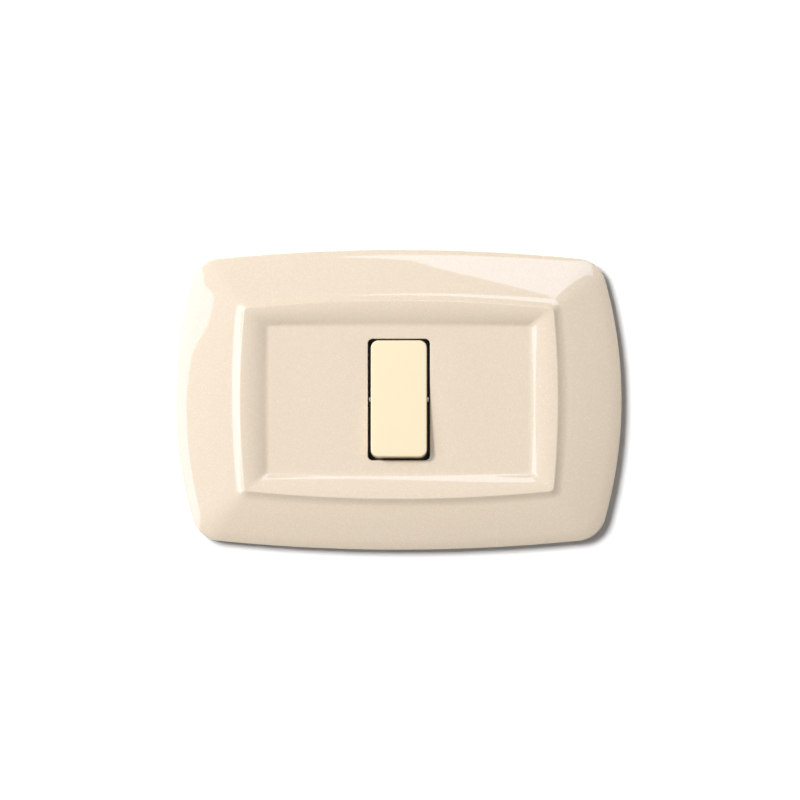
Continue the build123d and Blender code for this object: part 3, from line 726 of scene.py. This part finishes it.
def make_terminal_screws():
    centre = (0, TERMINAL_DEPTH, 0)
    for sign, name in ((1, "load"), (-1, "line")):
        axis = Vector((0, 0, sign))
        seat = (0, TERMINAL_DEPTH, sign * TERMINAL_SEAT)
        bm = bmesh.new()
        threaded(bm, centre, axis, *TERMINAL_THREAD)
        lathe(bm, TERMINAL_POINT, centre, axis, THREAD_SEGMENTS)
        lathe(bm, TERMINAL_NECK, centre, axis, SHANK_SEGMENTS)
        slotted_head(bm, TERMINAL_HEAD, seat, axis, Vector((1, 0, 0)))
        nodes = [f"{name}_terminal_screw"]
        fitted(f"{name}_clamp_screw", bm, zinc, nodes, f"{name}_screw")


SPRING_R = 1.15
SPRING_LOW = -4.6
SPRING_TOP = 1.0
SPRING_TURNS = 7.5
WIRE_R = 0.22
STEPS_PER_TURN = 28
WIRE_SIDES = 8


def coil_height(turn):
    """Height of the wire's middle after some turns: the last turn at either end is closed."""
    low, high = SPRING_LOW + WIRE_R, SPRING_TOP - WIRE_R
    closed = 2.1 * WIRE_R
    if turn < 1:
        return low + closed * turn
    if turn > SPRING_TURNS - 1:
        return high - closed * (SPRING_TURNS - turn)
    return low + closed + (high - low - 2 * closed) * (turn - 1) / (SPRING_TURNS - 2)


def make_spring():
    bm = bmesh.new()
    count = int(SPRING_TURNS * STEPS_PER_TURN)
    rings = []
    for i in range(count + 1):
        turn = SPRING_TURNS * i / count
        a = 2 * math.pi * turn
        outward = Vector((math.cos(a), 0, math.sin(a)))
        centre = outward * SPRING_R + Vector((0, -coil_height(turn), 0))
        corners = []
        for k in range(WIRE_SIDES):
            b = 2 * math.pi * k / WIRE_SIDES
            towards = outward * math.cos(b) + Vector((0, math.sin(b), 0))
            corners.append(bm.verts.new(centre + towards * WIRE_R))
        rings.append(corners)
    skinned(bm, rings)
    capped(bm, rings[0])
    capped(bm, rings[-1])
    tilted(bm)
    fitted("coil_spring", bm, spring_steel, ["plunger_spring"], "rocker")


make_box_screws()
make_terminal_screws()
make_spring()


# --- wall, floor, lights and camera -------------------------------------------------------------------------


def bare_material(name):
    """A new material, its node tree with only an output in it, and that output."""
    material = bpy.data.materials.new(name)
    material.use_nodes = True
    tree = material.node_tree
    tree.nodes.clear()
    return material, tree, tree.nodes.new("ShaderNodeOutputMaterial")


def paint(name, colour, one_sided=False):
    """Plain paint. One-sided paint is not there when seen from behind."""
    material, tree, output = bare_material(name)
    diffuse = tree.nodes.new("ShaderNodeBsdfDiffuse")
    diffuse.inputs["Color"].default_value = (*colour, 1.0)
    if one_sided:
        side = tree.nodes.new("ShaderNodeNewGeometry")
        clear = tree.nodes.new("ShaderNodeBsdfTransparent")
        either = tree.nodes.new("ShaderNodeMixShader")
        tree.links.new(side.outputs["Backfacing"], either.inputs["Fac"])
        tree.links.new(diffuse.outputs["BSDF"], either.inputs[1])
        tree.links.new(clear.outputs["BSDF"], either.inputs[2])
        tree.links.new(either.outputs["Shader"], output.inputs["Surface"])
    else:
        tree.links.new(diffuse.outputs["BSDF"], output.inputs["Surface"])
    return material


def stage_plane(name, corners, material):
    mesh = bpy.data.meshes.new(name)
    mesh.from_pydata(corners, [], [tuple(range(len(corners)))])
    mesh.materials.append(material)
    obj = in_scene(name, mesh)
    return obj


# in metres
WALL_Y = 0.0002
WALL_REACH = 4.0
FLOOR_Z = -1.2
FLOOR_REACH = 20.0
wall = stage_plane(
    "wall",
    [
        (-WALL_REACH, WALL_Y, FLOOR_Z),
        (WALL_REACH, WALL_Y, FLOOR_Z),
        (WALL_REACH, WALL_Y, WALL_REACH),
        (-WALL_REACH, WALL_Y, WALL_REACH),
    ],
    paint("wall_paint", (0.55, 0.55, 0.55), one_sided=True),
)
floor = stage_plane(
    "floor",
    [
        (-FLOOR_REACH, -FLOOR_REACH, FLOOR_Z),
        (FLOOR_REACH, -FLOOR_REACH, FLOOR_Z),
        (FLOOR_REACH, FLOOR_REACH, FLOOR_Z),
        (-FLOOR_REACH, FLOOR_REACH, FLOOR_Z),
    ],
    paint("floor_paint", (0.86, 0.86, 0.85)),
)


def direction(left_degrees, up_degrees):
    """The direction towards a light that stands so far to the left of the viewer and so far up."""
    a, e = math.radians(left_degrees), math.radians(up_degrees)
    return Vector((-math.sin(a) * math.cos(e), -math.cos(a) * math.cos(e), math.sin(e)))


def area_light(name, towards, distance, size, radiance):
    """A square soft light that faces the switch. Radiance is the brightness of its face."""
    data = bpy.data.lights.new(name, "AREA")
    data.shape = "SQUARE"
    data.size = size
    data.energy = radiance * math.pi * size**2
    obj = in_scene(name, data)
    turn = (-towards).to_track_quat("-Z", "Y").to_matrix().to_4x4()
    obj.matrix_world = Matrix.Translation(towards * distance) @ turn
    obj.visible_camera = False
    return obj


def panel(name, corners, towards, distance, radiance, eye, colour):
    """A glowing screen square to a direction, its corners at (degrees left, degrees up) seen from the eye."""
    material, tree, output = bare_material(name)
    glow = tree.nodes.new("ShaderNodeEmission")
    glow.inputs["Color"].default_value = (*colour, 1.0)
    glow.inputs["Strength"].default_value = radiance
    tree.links.new(glow.outputs["Emission"], output.inputs["Surface"])
    points = []
    for left, up in corners:
        ray = direction(left, up)
        points.append(eye + ray * ((distance - eye.dot(towards)) / ray.dot(towards)))
    obj = stage_plane(name, points, material)
    obj.visible_camera = False
    obj.visible_shadow = False
    return obj


COOL = (0.84, 1.0, 1.24)
NEUTRAL = (1.0, 1.0, 1.0)
# the parts of the plate where each panel's reflection is seen
LEFT_SIDE = Vector((-0.055, 0.0, 0.0))
TOP_SIDE = Vector((0.0, 0.0, 0.035))
MIDDLE = Vector((0.0, 0.0, 0.0))
key_panel = panel(
    "key_panel",
    [(40, -32), (34.5, 0), (27, 6), (33, 26), (46, 46), (63, 46), (63, -32)],
    towards=direction(56, 14),
    distance=0.75,
    radiance=1.8,
    eye=LEFT_SIDE,
    colour=COOL,
)
top_panel = panel(
    "top_panel",
    [(5, 46), (-2, 33), (-8, 23), (-34, 20), (-40, 50)],
    towards=direction(-14, 36),
    distance=0.7,
    radiance=1.75,
    eye=TOP_SIDE,
    colour=COOL,
)
panel(
    "right_strip",
    [(-77, -14), (-83, -14), (-83, 22), (-77, 22)],
    towards=direction(-80, 4),
    distance=0.8,
    radiance=1.6,
    eye=MIDDLE,
    colour=NEUTRAL,
)
main_light = area_light("main_light", direction(40, 22), distance=2.0, size=0.30, radiance=105.0)
wall_light = area_light("wall_light", direction(31, 21), distance=2.0, size=0.85, radiance=41.0)
main_light.visible_glossy = False
wall_light.visible_glossy = False


def collection_of(name, obj):
    """A collection for light linking, with one receiver in it."""
    collection = bpy.data.collections.new(name)
    collection.objects.link(obj)
    return collection


# the wall takes light from its own light and the room only, so that the plate throws one soft shadow on it
off_the_wall = collection_of("off_the_wall", wall)
off_the_wall.collection_objects[0].light_linking.link_state = "EXCLUDE"
for item in (key_panel, top_panel, main_light):
    item.light_linking.receiver_collection = off_the_wall
wall_light.light_linking.receiver_collection = collection_of("wall_only", wall)

# light for the side that faces into the wall box, let through by the wall
wall.visible_shadow = False
area_light("rear_soft", Vector((-0.55, 0.70, 0.40)).normalized(), distance=1.4, size=1.1, radiance=4.0)
area_light("rear_fill", Vector((0.80, 0.60, 0.25)).normalized(), distance=1.4, size=0.7, radiance=2.0)

# the floor is lit on its own and gives no light back
floor.visible_diffuse = False
floor.visible_glossy = False
floor_light = area_light("floor_light", Vector((0.0, 0.0, 1.0)), distance=6.0, size=9.0, radiance=2.6)
floor_light.light_linking.receiver_collection = collection_of("floor_only", floor)

world = bpy.data.worlds.new("studio")
bpy.context.scene.world = world
world.use_nodes = True
studio = world.node_tree
background = studio.nodes["Background"]
background.inputs["Color"].default_value = (*NEUTRAL, 1.0)


def world_node(kind, *sources, **settings):
    """A node of the world's tree, fed by (node, output) sources in the order of its inputs."""
    node = studio.nodes.new(kind)
    for name, value in settings.items():
        setattr(node, name, value)
    for socket, (source, output) in zip(node.inputs, sources):
        studio.links.new(source.outputs[output], socket)
    return node


# the room is brighter on the viewer's side, and pale where the camera sees past the wall
AMBIENT = 0.18
FRONT_GLOW = 0.32
SEEN_PAST_WALL = 0.92
around = world_node("ShaderNodeTexCoord")
split = world_node("ShaderNodeSeparateXYZ", (around, "Generated"))
front = world_node("ShaderNodeMapRange", (split, "Y"))
front.inputs["From Min"].default_value = 0.0
front.inputs["From Max"].default_value = -1.0
lobe = world_node("ShaderNodeMath", (front, "Result"), (front, "Result"), operation="MULTIPLY")
level = world_node("ShaderNodeMapRange", (lobe, "Value"))
level.inputs["To Min"].default_value = AMBIENT
level.inputs["To Max"].default_value = AMBIENT + FRONT_GLOW
path = world_node("ShaderNodeLightPath")
shown = world_node("ShaderNodeMix", (path, "Is Camera Ray"))
shown.inputs["B"].default_value = SEEN_PAST_WALL
studio.links.new(level.outputs["Result"], shown.inputs["A"])
studio.links.new(shown.outputs["Result"], background.inputs["Strength"])

CAMERA_DISTANCE = 2.2
VIEW_WIDTH = 0.216  # metres across the picture at the wall
CAMERA_X, CAMERA_Z = 0.0003, -0.0001
SENSOR = 36.0
camera_data = bpy.data.cameras.new("camera")
camera_data.sensor_width = SENSOR
camera_data.lens = SENSOR * CAMERA_DISTANCE / VIEW_WIDTH
camera_data.clip_start = 0.05
camera_data.clip_end = 60.0
camera = in_scene("camera", camera_data)
camera.location = (CAMERA_X, -CAMERA_DISTANCE, CAMERA_Z)
camera.rotation_euler = (math.radians(90), 0, 0)
bpy.context.scene.camera = camera

picture = bpy.context.scene.view_settings
picture.view_transform = "Standard"
picture.look = "None"
picture.exposure = 0.0
picture.gamma = 1.0
